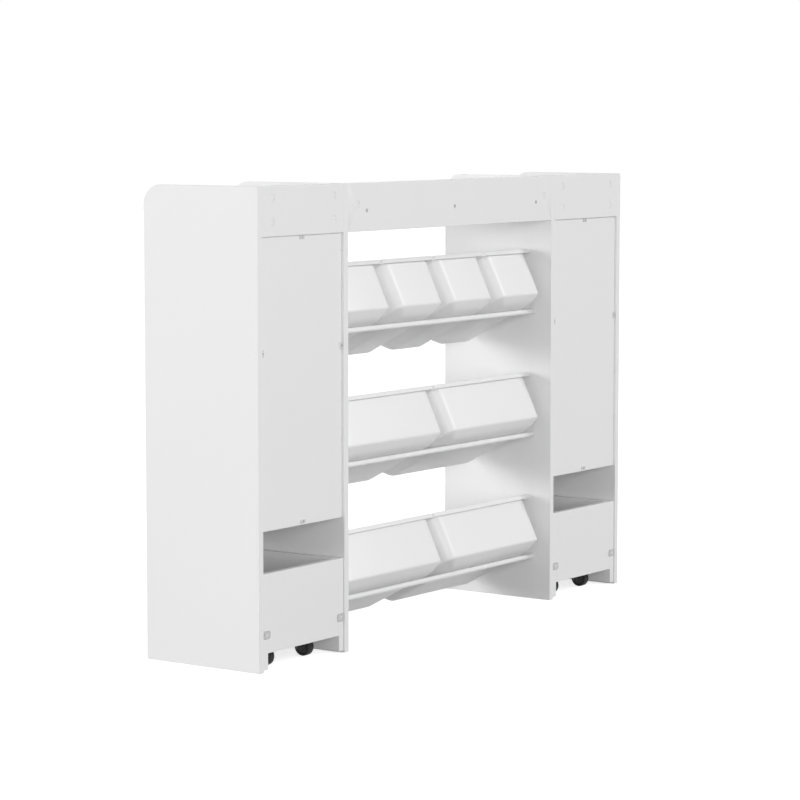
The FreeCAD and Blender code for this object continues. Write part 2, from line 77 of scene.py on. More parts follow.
# %% A wrapped socket
class Wire:
    """One output socket, with arithmetic that adds Math nodes."""

    def __init__(self, shader, socket):
        self.shader = shader
        self.socket = socket

    def combine(self, operation, first, second):
        return self.shader.node("ShaderNodeMath", {"operation": operation},
                                {0: first, 1: second})

    def __add__(self, other):
        return self.combine("ADD", self, other)

    def __mul__(self, other):
        return self.combine("MULTIPLY", self, other)

    def __sub__(self, other):
        return self.combine("SUBTRACT", self, other)

    def __rsub__(self, other):
        return self.combine("SUBTRACT", other, self)

    __radd__ = __add__
    __rmul__ = __mul__

    def above(self, level):
        return self.combine("GREATER_THAN", self, level)

    def largest(self, other):
        return self.combine("MAXIMUM", self, other)


# %% A node tree that is wired by name
class Shader:
    """A node tree that is being wired: a material's, or the world's."""

    def __init__(self, tree):
        self.tree = tree

    def node(self, kind, settings, sockets, output=0):
        """Add a node, set it up, feed its sockets, and hand back one of its outputs."""
        made = self.tree.nodes.new(kind)
        for name, value in settings.items():
            setattr(made, name, value)
        for socket, value in sockets.items():
            self.feed(made.inputs[socket], value)
        return Wire(self, made.outputs[output])

    def feed(self, socket, value):
        if isinstance(value, Wire):
            self.tree.links.new(value.socket, socket)
        else:
            socket.default_value = value

    def noise(self, scale, detail, stretch=(1, 1, 1)):
        """Noise on Object coordinates, which are metres in the unit's own frame."""
        spot = self.node("ShaderNodeTexCoord", {}, {}, "Object")
        spot = self.node("ShaderNodeMapping", {}, {"Vector": spot, "Scale": stretch})
        return self.node("ShaderNodeTexNoise", {},
                         {"Vector": spot, "Scale": scale, "Detail": detail}, "Fac")

    def blend(self, share, first, second):
        return self.node("ShaderNodeMix", {"data_type": "RGBA"},
                         {0: share, 6: first, 7: second}, 2)

    def bump(self, height, strength, distance):
        return self.node("ShaderNodeBump", {}, {"Height": height, "Strength": strength,
                                                "Distance": distance}, "Normal")

    def sees_backdrop(self):
        """1 for rays that look at the backdrop: from the camera, in a gloss, or through glass."""
        rays = [self.node("ShaderNodeLightPath", {}, {}, name)
                for name in ("Is Camera Ray", "Is Glossy Ray", "Is Transmission Ray")]
        return rays[0].largest(rays[1]).largest(rays[2])


# %% A material in one call
def surface(name, plain, make_linked=None):
    """A material whose Principled sockets hold plain values, or what make_linked wires."""
    material = bpy.data.materials.new(name)
    material.use_nodes = True
    shader = Shader(material.node_tree)
    principled = material.node_tree.nodes["Principled BSDF"]
    linked = make_linked(shader) if make_linked else {}
    for socket, value in {**plain, **linked}.items():
        shader.feed(principled.inputs[socket], value)
    return material


def grey(level):
    """A neutral colour."""
    return (level, level, level, 1.0)


MATERIALS = {}


def make_finish(slot, name, plain, make_linked):
    """Make the material of one slot and say what went into it."""
    MATERIALS[slot] = surface(name, plain, make_linked)
    print(slot, "is", name, "with", len(MATERIALS[slot].node_tree.nodes), "nodes")


# %% [markdown]
# ## White boards
#
# The boards are particle board under a white foil. The foil is not mirror smooth: it has a faint
# pebble from the press, and the roughness drifts a little over a large panel. A picture of foil
# would have to be unwrapped on to every board. Noise on Object coordinates needs no unwrapping,
# and since those are metres here, the pebble keeps its real size on every board.

# %% Board foil
def board_foil(shader):
    drift = shader.noise(scale=3.0, detail=3.0)
    pebble = shader.noise(scale=900.0, detail=1.0)
    return {"Base Color": shader.blend(drift, grey(0.835), grey(0.855)),
            "Roughness": 0.42 + 0.1 * drift,
            "Normal": shader.bump(pebble, strength=0.12, distance=0.2 * MM)}


make_finish("white_board", "white board foil", {"Specular IOR Level": 0.35}, board_foil)

# %% [markdown]
# ## Moulded bins
#
# The bins are injection moulded polypropylene: a little whiter than the boards and a little waxy,
# with a fine spark-eroded grain from the mould. A flat colour would look like paper, so a touch of
# subsurface light, which goes some millimetres into the plastic, softens the walls.

# %% Bin plastic
def bin_plastic(shader):
    drift = shader.noise(scale=6.0, detail=2.0)
    grain = shader.noise(scale=1400.0, detail=2.0)
    return {"Base Color": shader.blend(drift, grey(0.855), grey(0.875)),
            "Roughness": 0.36 + 0.08 * drift,
            "Normal": shader.bump(grain, strength=0.15, distance=0.2 * MM)}


WAXY = {"Specular IOR Level": 0.4, "Subsurface Weight": 0.08,
        "Subsurface Radius": (6 * MM, 6 * MM, 6 * MM)}
make_finish("bin_plastic", "moulded bin plastic", WAXY, bin_plastic)

# %% [markdown]
# ## Rods, casters and fittings
#
# The rods are steel tube under white lacquer, with drawing marks that run along them: the same
# noise, stretched along the rod. The casters are black nylon, and their duller tread has picked up
# grit, which is noise cut off at a level, so that only its peaks show. The brackets are zinc
# plated, with the cloudy look of the bath. The cams are moulded like the bins, and the clips are of
# a greyer plastic. The buffers on the stop angles share it, and there its pale colour paints a
# highlight.

# %% Rods and casters
def rod_lacquer(shader):
    waves = shader.noise(scale=60.0, detail=2.0, stretch=(0.1, 1, 1))
    return {"Base Color": shader.blend(waves, grey(0.84), grey(0.88)),
            "Roughness": 0.22 + 0.1 * waves,
            "Normal": shader.bump(waves, strength=0.05, distance=0.5 * MM)}


def caster_nylon(shader):
    scuff = shader.noise(scale=180.0, detail=4.0)
    return {"Base Color": shader.blend(scuff, grey(0.010), grey(0.018)),
            "Roughness": 0.35 + 0.15 * scuff,
            "Normal": shader.bump(scuff, strength=0.1, distance=0.3 * MM)}


def caster_tread(shader):
    grit = shader.noise(scale=700.0, detail=3.0)
    return {"Base Color": shader.blend(grit.above(0.68), grey(0.018), grey(0.05)),
            "Roughness": 0.55 + 0.2 * grit,
            "Normal": shader.bump(grit, strength=0.2, distance=0.3 * MM)}


make_finish("white_rod", "white rod lacquer", {}, rod_lacquer)
make_finish("caster_black", "black caster nylon", {"Specular IOR Level": 0.4}, caster_nylon)
make_finish("caster_tread", "dull caster tread", {"Specular IOR Level": 0.3}, caster_tread)


# %% Zinc and fitting plastic
def zinc_plate(shader):
    cloud = shader.noise(scale=220.0, detail=3.0)
    return {"Base Color": shader.blend(cloud, grey(0.34), grey(0.46)),
            "Roughness": 0.32 + 0.2 * cloud,
            "Normal": shader.bump(cloud, strength=0.08, distance=0.3 * MM)}


# Pale fitting plastic: the clips' own colour, and on the stop buffers a painted highlight.
def fitting_plastic(shader):
    mottle = shader.noise(scale=400.0, detail=2.0)
    return {"Base Color": shader.blend(mottle, grey(0.62), grey(0.68)),
            "Roughness": 0.4 + 0.1 * mottle,
            "Normal": shader.bump(mottle, strength=0.1, distance=0.2 * MM)}


make_finish("bracket_steel", "zinc plate", {"Metallic": 0.9}, zinc_plate)
make_finish("clip_plastic", "pale fitting plastic", {"Specular IOR Level": 0.4}, fitting_plastic)

# %% [markdown]
# ## The solids get their finishes
#
# Every measured solid names the slot of its finish. Each is replaced by a finer piece below, and
# the material is set on it all the same, so that none can ever show up bare.

# %% Materials on the measured solids
for node, solid in frame["nodes"].items():
    solid.data.materials.clear()
    solid.data.materials.append(MATERIALS[slot_of_node[node]])
print("solids with a finish:", len(frame["nodes"]))

# %% [markdown]
# ## From a bmesh to a finished piece
#
# Each piece below is built in a bmesh, in metres in the unit's frame. One helper turns it into an
# object that sits at the origin, shades it, and ties it to the body that it moves with. It shades
# smooth except across sharp edges. A board's broad faces are shaded flat too, because a smooth
# normal that leans towards the thin round at the edge would draw a diagonal over the whole panel.
# A second helper runs a modifier on a bmesh and hands back the plain result, so that no modifier
# is left on a piece.

# %% A finished piece
SHARP_EDGE = math.radians(32)
BROAD_FACE = 20e-4         # square metres


def add_piece(name, shape, body, slot, replaced=()):
    """Turn a bmesh into a piece that rides on a body."""
    bmesh.ops.recalc_face_normals(shape, faces=shape.faces)
    for face in shape.faces:
        face.smooth = slot != "white_board" or face.calc_area() < BROAD_FACE
    for edge in shape.edges:
        edge.smooth = len(edge.link_faces) == 2 and edge.calc_face_angle(0.0) < SHARP_EDGE
    mesh = bpy.data.meshes.new(name)
    shape.to_mesh(mesh)
    shape.free()
    mesh.materials.append(MATERIALS[slot])
    piece = bpy.data.objects.new(name, mesh)
    bpy.context.scene.collection.objects.link(piece)
    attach(piece, body)
    if replaced:
        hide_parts(*replaced)
    return piece


print("shading is smooth over edges up to", round(math.degrees(SHARP_EDGE)), "degrees")


# %% A passing holder for a modifier
def holder_of(name, shape):
    """A passing object that holds a bmesh's faces for a modifier."""
    mesh = bpy.data.meshes.new(name)
    shape.to_mesh(mesh)
    shape.free()
    holder = bpy.data.objects.new(name, mesh)
    bpy.context.scene.collection.objects.link(holder)
    return holder


def baked(holder):
    """A bmesh of what the holder's modifiers make of it. The holder goes."""
    bpy.context.view_layer.update()
    seen = holder.evaluated_get(bpy.context.evaluated_depsgraph_get())
    mesh = bpy.data.meshes.new_from_object(seen)
    shape = bmesh.new()
    shape.from_mesh(mesh)
    bpy.data.meshes.remove(mesh)
    bpy.data.objects.remove(holder)
    return shape


# %% [markdown]
# ## Lofts
#
# Nearly every piece but a board is a stack of rings: a bin is rounded rectangles, a wheel is
# circles, a plate is a rounded square. Each could be carved out of a cube or a cylinder with
# modifiers, but rings written as numbers keep every size exact and easy to change. `loft` joins
# rings that have the same number of points and closes the ends, or joins the last ring to the
# first for a shape with a hole through it.

# %% Rings
CORNER_STEPS = 10
ROUND_STEPS = 40


def arc(centre, radius, start, end, steps):
    """Points of an arc in a plane, its angles in degrees."""
    turns = [math.radians(start + (end - start) * step / steps) for step in range(steps + 1)]
    return [(centre[0] + radius * math.cos(turn), centre[1] + radius * math.sin(turn))
            for turn in turns]


def rounded_ring(half_width, rear, front, height, corner):
    """Points of one level rounded rectangle, counter-clockwise from above."""
    points = []
    corners = ((half_width - corner, rear - corner, 0), (-half_width + corner, rear - corner, 90),
               (-half_width + corner, front + corner, 180),
               (half_width - corner, front + corner, 270))
    for x, y, start in corners:
        for across, along in arc((x, y), corner, start, start + 90, CORNER_STEPS):
            points.append(Vector((across, along, height)))
    return points


def round_ring(along, radius):
    """Points of one circle about the X axis."""
    return [Vector((along, across, up))
            for across, up in arc((0, 0), radius, 0, 360 - 360 / ROUND_STEPS, ROUND_STEPS - 1)]


print("points in a rounded rectangle:", 4 * (CORNER_STEPS + 1), "in a circle:", ROUND_STEPS)


# %% Lofts and turned shapes
def loft(shape, rings, place=Matrix(), through=False):
    """Join rings of points with quads. The ends are closed, or meet if there is a way through."""
    made = [[shape.verts.new(place @ point) for point in ring] for ring in rings]
    for low, high in zip(made, made[1:] + made[:1] if through else made[1:]):
        for index in range(len(low)):
            following = (index + 1) % len(low)
            shape.faces.new((low[index], low[following], high[following], high[index]))
    if not through:
        shape.faces.new(list(reversed(made[0])))
        shape.faces.new(made[-1])


def turned(shape, profile, place=Matrix(), through=False):
    """Turn a profile of (along, radius) about the local X axis, as a lathe would."""
    loft(shape, [round_ring(along, radius) for along, radius in profile], place, through)


ON_Z = Matrix.Rotation(math.radians(-90), 4, "Y")    # the lathe's axis, upright
ON_Y = Matrix.Rotation(math.radians(90), 4, "Z")     # the lathe's axis, to the back
print("the lathe's axis turned upright:", [round(part, 3) for part in ON_Z @ Vector((1, 0, 0))])

# %% [markdown]
# ## Softened boards
#
# A real board's edge is never a knife edge: the edge band is sanded to about a millimetre, and
# that thin round is what catches the light. A material can fake it, but then it is missing from
# the shape, so it is modelled. The solid's triangles are merged back into flat faces first,
# because a bevel needs whole edges, and then every sharp edge is bevelled. The rear rails also get
# the round pockets in which their cam locks and screws sit, cut out with a Boolean.

# %% Places of the cams and screws on the rear rails
CAM_INSET, TRAY_CAMS_UP, CENTRE_CAM_UP = 35 * MM, (29 * MM, 79 * MM), 58 * MM
SHELF_SCREW_UP, SHELF_SCREW_OUT = 44 * MM, 334.5 * MM


def rail_fittings(node):
    """Cam and screw places on the rear face of a rail."""
    low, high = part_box(node)
    ends = (low.x + CAM_INSET, high.x - CAM_INSET)
    if node == "rear_rail_centre":
        cams = [Vector((x, high.y, low.z + CENTRE_CAM_UP)) for x in ends]
        screws = [Vector((x, high.y, low.z + SHELF_SCREW_UP))
                  for x in (-SHELF_SCREW_OUT, 0, SHELF_SCREW_OUT)]
        return cams, screws
    return [Vector((x, high.y, low.z + up)) for x in ends for up in TRAY_CAMS_UP], []


for node in nodes_named("rear_rail"):
    print(node, "cams and screws:", [len(places) for places in rail_fittings(node)])

# %% Rounded edges and round pockets
BAND_ROUND = 0.9 * MM      # sanded edge band
ROUTED_ROUND = 2.0 * MM    # routed edge of the box fronts
ROUND_SEGMENTS = 2
FLAT_WITHIN = math.radians(0.5)
WELD_WITHIN = 1e-6
CAM_POCKET, SCREW_POCKET, POCKET_DEPTH = 7.8 * MM, 4.4 * MM, 1.6 * MM


def softened(node, round_by):
    """A merged and bevelled copy of a solid, as a bmesh."""
    shape = bmesh.new()
    shape.from_mesh(frame["nodes"][node].data)
    bmesh.ops.remove_doubles(shape, verts=shape.verts, dist=WELD_WITHIN)
    bmesh.ops.dissolve_limit(shape, angle_limit=FLAT_WITHIN, verts=shape.verts,
                             edges=shape.edges)
    sharp = [edge for edge in shape.edges if edge.calc_face_angle(0.0) > SHARP_EDGE]
    bmesh.ops.bevel(shape, geom=sharp, offset=round_by, segments=ROUND_SEGMENTS, profile=0.5,
                    affect="EDGES", clamp_overlap=True)
    return shape


def pocketed(shape, pockets):
    """Cut round pockets, each (centre, radius), into a rear face."""
    drills = bmesh.new()
    for centre, radius in pockets:
        turned(drills, [(-POCKET_DEPTH, radius), (POCKET_DEPTH, radius)],
               Matrix.Translation(centre) @ ON_Y)
    bmesh.ops.recalc_face_normals(drills, faces=drills.faces)
    board, drill = holder_of("board", shape), holder_of("drill", drills)
    cut = board.modifiers.new("pockets", "BOOLEAN")
    cut.operation, cut.solver, cut.object = "DIFFERENCE", "EXACT", drill
    shape = baked(board)
    bpy.data.objects.remove(drill)
    return shape


# %% Every board, softened
cam_places, screw_places = [], []
boards = [node for node in sorted(frame["nodes"]) if slot_of_node[node] == "white_board"]
for node in boards:
    shape = softened(node, ROUTED_ROUND if node.startswith("box_front") else BAND_ROUND)
    if node.startswith("rear_rail"):
        cams, screws = rail_fittings(node)
        shape = pocketed(shape, [(spot, CAM_POCKET) for spot in cams]
                         + [(spot, SCREW_POCKET) for spot in screws])
        cam_places += cams
        screw_places += screws
    add_piece("soft_" + node, shape, body_of_node[node], "white_board", [node])
print("boards:", len(boards), "cam locks:", len(cam_places), "rail screws:", len(screw_places))

# %% [markdown]
# ## Bins
#
# A bin could be a cube that is tapered, hollowed and bevelled, but its lip, which turns outwards
# and down, would still be missing. So the section through a bin's wall is written once, as points
# of (distance outwards, height): the bevel at the foot, the leaning wall, the lip, and the same
# way back inside. A loft then joins the rounded rectangles that belong to these points. The wall
# turns a wide upright corner but the lip turns a tight one, so a flat web shows under the lip at
# each corner. The bin's place comes from its solid's box, and its tilt from the joint along which
# it is lifted out.

# %% Sizes of a bin
BIN_FLOOR_LENGTH, BIN_HEIGHT, BIN_WALL = 232 * MM, 124.5 * MM, 2.5 * MM
BIN_CORNER, LIP_CORNER, BIN_DRAFT = 22 * MM, 7 * MM, math.radians(3.0)
FOOT_UP, FOOT_IN = 17.5 * MM, 27 * MM      # how far the foot's bevel goes up the wall and inwards
FOOT_CREASE, FOOT_EASE = 4 * MM, 13 * MM   # its crease at the wall, its wider curve at the floor
FRONT_FOOT, FLOOR_CORNER = 0.4, 0.5        # shares of the bevel's inset at front and corners
LIP_REACH, LIP_DROP, LIP_WALL = 6.5 * MM, 7.5 * MM, 2.2 * MM
LIP_RISE = 2.5 * MM                        # how far the rim stands over the measured solid's
LIP_ROUND, SKIRT_EASE, LIP_FILLET = 1.1 * MM, 0.3 * MM, 1.5 * MM
FOOT_STEPS, LIP_STEPS = 4, 3
FLARE = BIN_HEIGHT * math.tan(BIN_DRAFT)
LIP_OUT = LIP_REACH + FLARE
print("flare of a bin's wall:", round(FLARE / MM, 2), "mm, lip:", round(LIP_OUT / MM, 2), "mm")


# %% The section through a bin's wall
def eased(before, corner, after, ease):
    """A quadratic curve that takes the place of a corner between two straight runs."""
    start = corner + (before - corner).normalized() * ease
    end = corner + (after - corner).normalized() * ease
    steps = [step / FOOT_STEPS for step in range(FOOT_STEPS + 1)]
    return [tuple((1 - t) ** 2 * start + 2 * t * (1 - t) * corner + t * t * end) for t in steps]


def foot_bevel(floor, inset, shift):
    """The bevel between a floor and a leaning wall: a soft crease above, a wide curve below."""
    up_wall = Vector((math.sin(BIN_DRAFT), math.cos(BIN_DRAFT)))
    sharp = Vector((shift + floor * math.tan(BIN_DRAFT), floor))
    on_floor, on_wall = sharp - Vector((FOOT_IN - inset, 0)), sharp + (FOOT_UP - inset) * up_wall
    inner_floor, upper_wall = on_floor - Vector((FOOT_IN, 0)), on_wall + up_wall
    return (eased(inner_floor, on_floor, on_wall, FOOT_EASE)
            + eased(on_floor, on_wall, upper_wall, FOOT_CREASE))


def bin_section():
    """Section from under the floor, over the lip, to the inside of the floor."""
    inner_shift = -BIN_WALL / math.cos(BIN_DRAFT)
    under_lip, skirt_end = BIN_HEIGHT + LIP_RISE - LIP_WALL, BIN_HEIGHT - LIP_DROP
    wall_top, skirt_in = under_lip * math.tan(BIN_DRAFT), LIP_OUT - LIP_WALL
    mouth = FLARE + inner_shift
    top = BIN_HEIGHT + LIP_RISE - LIP_ROUND
    points = foot_bevel(0, 0, 0)
    points += arc((wall_top + LIP_FILLET, under_lip - LIP_FILLET), LIP_FILLET, 180, 90, LIP_STEPS)
    points += [(skirt_in - SKIRT_EASE, under_lip), (skirt_in, under_lip - SKIRT_EASE),
               (skirt_in, skirt_end + SKIRT_EASE), (skirt_in + SKIRT_EASE, skirt_end),
               (LIP_OUT - SKIRT_EASE, skirt_end), (LIP_OUT, skirt_end + SKIRT_EASE)]
    points += arc((LIP_OUT - LIP_ROUND, top), LIP_ROUND, 0, 90, LIP_STEPS)
    points += arc((mouth + LIP_ROUND, top), LIP_ROUND, 90, 180, LIP_STEPS)
    points += reversed(foot_bevel(BIN_WALL, BIN_WALL / 2, inner_shift))
    return points


print("points in the section:", len(bin_section()))


# %% Bins on their places
def corner_at(outwards):
    """Radius of a bin's upright corner: wide on the walls, tight on the lip and the floor."""
    if outwards > LIP_OUT - LIP_WALL - LIP_ROUND:
        return LIP_CORNER + outwards - LIP_OUT
    return BIN_CORNER + max(outwards, FLOOR_CORNER * outwards)


def bin_shape(node):
    low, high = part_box(node)
    lift = next(joint for joint in frame["joints"] if joint["child"] == node)["axis"]
    tilt = math.atan2(-lift[1], lift[2])
    rear_y = low.y + (BIN_FLOOR_LENGTH + LIP_OUT) * math.cos(tilt) + BIN_HEIGHT * math.sin(tilt)
    rear_z = high.z - LIP_OUT * math.sin(tilt) - BIN_HEIGHT * math.cos(tilt)
    place = (Matrix.Translation(((low.x + high.x) / 2, rear_y, rear_z))
             @ Matrix.Rotation(tilt, 4, "X"))
    half_floor = (high.x - low.x) / 2 - LIP_OUT
    rings = [rounded_ring(half_floor + outwards, outwards,
                          -BIN_FLOOR_LENGTH - max(outwards, FRONT_FOOT * outwards), height,
                          corner_at(outwards)) for outwards, height in bin_section()]
    shape = bmesh.new()
    loft(shape, rings, place)
    return shape


bins = [add_piece("moulded_" + node, bin_shape(node), node, "bin_plastic", [node])
        for node in nodes_named("bin_")]
print("bins:", len(bins), "faces each:", len(bins[0].data.polygons))

# %% [markdown]
# ## Rods
#
# Each rod is a length of round tube that ends in blind holes in the panels. A plain cylinder would
# look the same from afar, but its ends would be knife-sharp, so the rod is turned as a lathe
# would, with a small bevel at the cut ends.

# %% Rods
ROD_BEVEL = 0.5 * MM
ROWS = sorted({node.split("_")[1] for node in nodes_named("bin_")})
for node in ("rear_rods", "front_rods"):
    low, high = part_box(node)
    radius = (high.y - low.y) / 2
    length, climb = high.x - low.x, high.z - low.z - 2 * radius
    profile = [(0, radius - ROD_BEVEL), (ROD_BEVEL, radius), (length - ROD_BEVEL, radius),
               (length, radius - ROD_BEVEL)]
    shape = bmesh.new()
    for row in range(len(ROWS)):
        height = low.z + radius + climb * row / (len(ROWS) - 1)
        turned(shape, profile, Matrix.Translation((low.x, (low.y + high.y) / 2, height)))
    add_piece("round_" + node, shape, body_of_node[node], slot_of_node[node], [node])
print("rods:", 2 * len(ROWS), "radius", round(radius, 4))

# %% [markdown]
# ## Caster wheels
#
# A furniture caster's wheel is moulded in two shots: a hard core with a hub, a dished web and
# ribs, and a softer tread with rounded shoulders round it. Both are turned from a half profile
# that is mirrored, so that the two sides of a wheel cannot differ. The ribs are small slabs
# between hub and rim, and let one see that the wheel spins.

# %% Wheel cores
EASE = 0.4 * MM                                # eased edge of the casters and the buffers
HALF_TREAD, WHEEL_RADIUS, AXLE_BORE = 9.0 * MM, 20.0 * MM, 3.05 * MM
HUB_RADIUS, HUB_FLARE, WEB_AT = 6.4 * MM, 1.0 * MM, 6.6 * MM
RIM_AT, RIM_RADIUS, RIM_EASE = 8.2 * MM, 16.4 * MM, 0.3 * MM
RIM_FOOT, RIM_STEP, RIM_BAND = 2.4 * MM, 1.0 * MM, 0.6 * MM    # all measured in from the rim
RIB_COUNT, RIB_THICKNESS, RIB_CLEAR = 6, 1.3 * MM, 0.6 * MM
RIB_IN_HUB, RIB_BELOW_RIM = 0.2 * MM, 0.5 * MM


def mirrored(half_profile):
    """A profile for one side of the wheel, and then the other side back."""
    return half_profile + [(-along, radius) for along, radius in reversed(half_profile)]


def wheel_core(place):
    half = [(-HALF_TREAD, AXLE_BORE), (-HALF_TREAD, HUB_RADIUS - EASE),
            (-HALF_TREAD + EASE, HUB_RADIUS), (-WEB_AT - EASE, HUB_RADIUS + HUB_FLARE),
            (-WEB_AT, HUB_RADIUS + 2 * HUB_FLARE), (-WEB_AT, RIM_RADIUS - RIM_FOOT),
            (-RIM_AT + RIM_EASE, RIM_RADIUS - RIM_STEP), (-RIM_AT, RIM_RADIUS - RIM_BAND),
            (-RIM_AT, RIM_RADIUS)]
    shape = bmesh.new()
    turned(shape, mirrored(half), place, through=True)
    rib_length = RIM_RADIUS - HUB_RADIUS - RIB_CLEAR
    for rib in range(RIB_COUNT):
        turn = Matrix.Rotation(2 * math.pi * rib / RIB_COUNT, 4, "X")
        middle = Matrix.Translation((0, 0, HUB_RADIUS + rib_length / 2 - RIB_IN_HUB))
        size = Matrix.Diagonal((2 * (RIM_AT - RIB_BELOW_RIM), RIB_THICKNESS, rib_length, 1))
        bmesh.ops.create_cube(shape, size=1, matrix=place @ turn @ middle @ size)
    return shape


# %% Treads, and the wheels on their places
SHOULDER, SHOULDER_STEPS = 2.8 * MM, 6
TREAD_OVERLAP = 0.2 * MM                       # how far the tread reaches into the core


def wheel_tread(place):
    half = [(-RIM_AT + TREAD_OVERLAP, RIM_RADIUS - TREAD_OVERLAP)]
    half += arc((-HALF_TREAD + SHOULDER, WHEEL_RADIUS - SHOULDER), SHOULDER, 180, 90,
                SHOULDER_STEPS)
    shape = bmesh.new()
    turned(shape, mirrored(half), place, through=True)
    return shape


wheels = nodes_named("caster_wheel")
for node in wheels:
    low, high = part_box(node)
    place = Matrix.Translation((low + high) / 2)
    add_piece("tread_" + node, wheel_tread(place), body_of_node[node], "caster_tread", [node])
    add_piece("core_" + node, wheel_core(place), body_of_node[node], "caster_black")
print("wheels:", len(wheels))

# %% [markdown]
# ## Caster forks
#
# A fork is a crown with a hole for its pin, two cheeks that narrow to a round end, and a riveted
# axle. The hole could be cut with a Boolean, but a loft whose inner rings are circles, seen from
# the same directions as the points of the rounded square outside them, gives it with clean quads.

# %% Crown and cheeks
CROWN_HALF, CROWN_CORNER, CROWN_SHEET = 15.0 * MM, 5.0 * MM, 3.5 * MM
PIN_BORE, RACE_RADIUS, RACE_DROP = 4.05 * MM, 10.0 * MM, 1.1 * MM
AXLE_BACK, AXLE_UP = -10.0 * MM, 20.0 * MM
CHEEK_IN, CHEEK_OUT, CHEEK_END, CHEEK_EASE = 9.6 * MM, 12.2 * MM, 6.6 * MM, 0.97
CHEEK_FROM, CHEEK_TO, CHEEK_STEPS = 184, 331, 14    # its round end, from and to in degrees


def slab_rings(half, corner, low, high):
    """Rings of a rounded square with eased edges."""
    return [rounded_ring(half - inset, half - inset, inset - half, height, corner - inset)
            for inset, height in ((EASE, low), (0, low + EASE), (0, high - EASE), (EASE, high))]


def about_middle(ring, radius, height):
    """A level circle whose points look the same way as those of a ring round the middle."""
    return [Vector((radius * point.x, radius * point.y, 0)) / math.hypot(point.x, point.y)
            + Vector((0, 0, height)) for point in ring]


def crown(shape, low, high, place):
    """A rounded square with a bore, its underside bulging out to a race."""
    outer = slab_rings(CROWN_HALF, CROWN_CORNER, low, high)
    rings = [about_middle(outer[0], PIN_BORE, low - RACE_DROP),
             about_middle(outer[0], RACE_RADIUS, low - RACE_DROP),
             about_middle(outer[0], RACE_RADIUS + RACE_DROP, low), *outer,
             about_middle(outer[0], PIN_BORE, high)]
    loft(shape, rings, place, through=True)


def cheek(shape, near, far, top, place):
    """One side of a fork: a slab between two distances from the middle, with eased edges."""
    outline = [(-CROWN_HALF + EASE, top)]
    outline += arc((AXLE_BACK, AXLE_UP), CHEEK_END, CHEEK_FROM, CHEEK_TO, CHEEK_STEPS)
    outline += [(CROWN_HALF - EASE, top)]
    middle = Vector((0, AXLE_BACK / 2, (AXLE_UP + top) / 2))
    step = math.copysign(EASE, far - near)
    rings = []
    for x, size in ((near, CHEEK_EASE), (near + step, 1), (far - step, 1), (far, CHEEK_EASE)):
        rings.append([middle + Vector((x, 0, 0)) + (Vector((0, y, z)) - middle) * size
                      for y, z in outline])
    loft(shape, rings, place)


print("a fork's cheeks stand", round(2 * CHEEK_IN / MM, 1), "mm apart")


# %% Forks on their places
AXLE_RADIUS, RIVET_RADIUS, RIVET_HEIGHT = 3.0 * MM, 4.4 * MM, 0.9 * MM
RIVET_TIP, RIVET_CROWN = 1.0 * MM, 1.2 * MM         # flat tip, and the crown's width round it
RIVET_SHOULDER = (0.5 * MM, 0.2 * MM)               # how far down and in the shoulder lies


def fork_shape(node):
    low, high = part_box(node)
    place = Matrix.Translation(((low.x + high.x) / 2, high.y - CROWN_HALF, 0))
    shape = bmesh.new()
    crown_foot = high.z - CROWN_SHEET
    crown(shape, crown_foot, high.z, place)
    for side in (-1, 1):
        cheek(shape, side * CHEEK_IN, side * CHEEK_OUT, crown_foot + EASE, place)
    rivet = CHEEK_OUT + RIVET_HEIGHT
    half = [(-rivet, RIVET_TIP), (-rivet, RIVET_RADIUS - RIVET_CROWN),
            (-rivet + RIVET_SHOULDER[0], RIVET_RADIUS - RIVET_SHOULDER[1]),
            (-CHEEK_OUT, RIVET_RADIUS), (-CHEEK_IN, RIVET_RADIUS), (-CHEEK_IN, AXLE_RADIUS)]
    turned(shape, mirrored(half), place @ Matrix.Translation((0, AXLE_BACK, AXLE_UP)))
    return shape


forks = nodes_named("caster_fork")
for node in forks:
    add_piece("shaped_" + node, fork_shape(node), body_of_node[node], "caster_black", [node])
print("forks:", len(forks))

# %% [markdown]
# ## Caster plates
#
# The plate is a rounded square under the box floor. Its pin goes down through the fork's crown
# and is spread to a low head under it, which holds the fork and lets it turn. The plate is a loft
# and the pin is turned, and both go into one mesh, because they are pressed together for good.

# %% Plates and pins
PLATE_HALF, PLATE_CORNER, PLATE_SCREW_OUT = 19.0 * MM, 5.0 * MM, 14.5 * MM
PIN_RADIUS, PIN_HEAD, PIN_HEAD_HEIGHT, PIN_HEAD_EASE = 4.0 * MM, 6.0 * MM, 1.2 * MM, 1.0 * MM
HEAD_PLAY, SWIVEL_GAP = 0.3 * MM, 0.4 * MM

plate_screws = {}
for side in ("left", "right"):
    node = "caster_plates_" + side
    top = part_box(node)[1].z
    plates = bmesh.new()
    plate_screws[node] = []
    for fork in (fork for fork in forks if side in fork):
        low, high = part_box(fork)
        axis = Vector(((low.x + high.x) / 2, high.y - CROWN_HALF, 0))
        place = Matrix.Translation(axis)
        plate_foot = high.z + SWIVEL_GAP
        loft(plates, slab_rings(PLATE_HALF, PLATE_CORNER, plate_foot, top), place)
        head_top = high.z - CROWN_SHEET - RACE_DROP - HEAD_PLAY
        turned(plates, [(head_top - PIN_HEAD_HEIGHT, PIN_HEAD - PIN_HEAD_EASE),
                        (head_top - PIN_HEAD_HEIGHT / 2, PIN_HEAD), (head_top, PIN_HEAD),
                        (head_top, PIN_RADIUS), (plate_foot + EASE, PIN_RADIUS)], place @ ON_Z)
        plate_screws[node] += [
            axis + Vector((PLATE_SCREW_OUT * x, PLATE_SCREW_OUT * y, plate_foot))
            for x in (-1, 1) for y in (-1, 1)]
    add_piece("shaped_" + node, plates, body_of_node[node], "caster_black", [node])
print("plate screws:", sum(len(spots) for spots in plate_screws.values()))
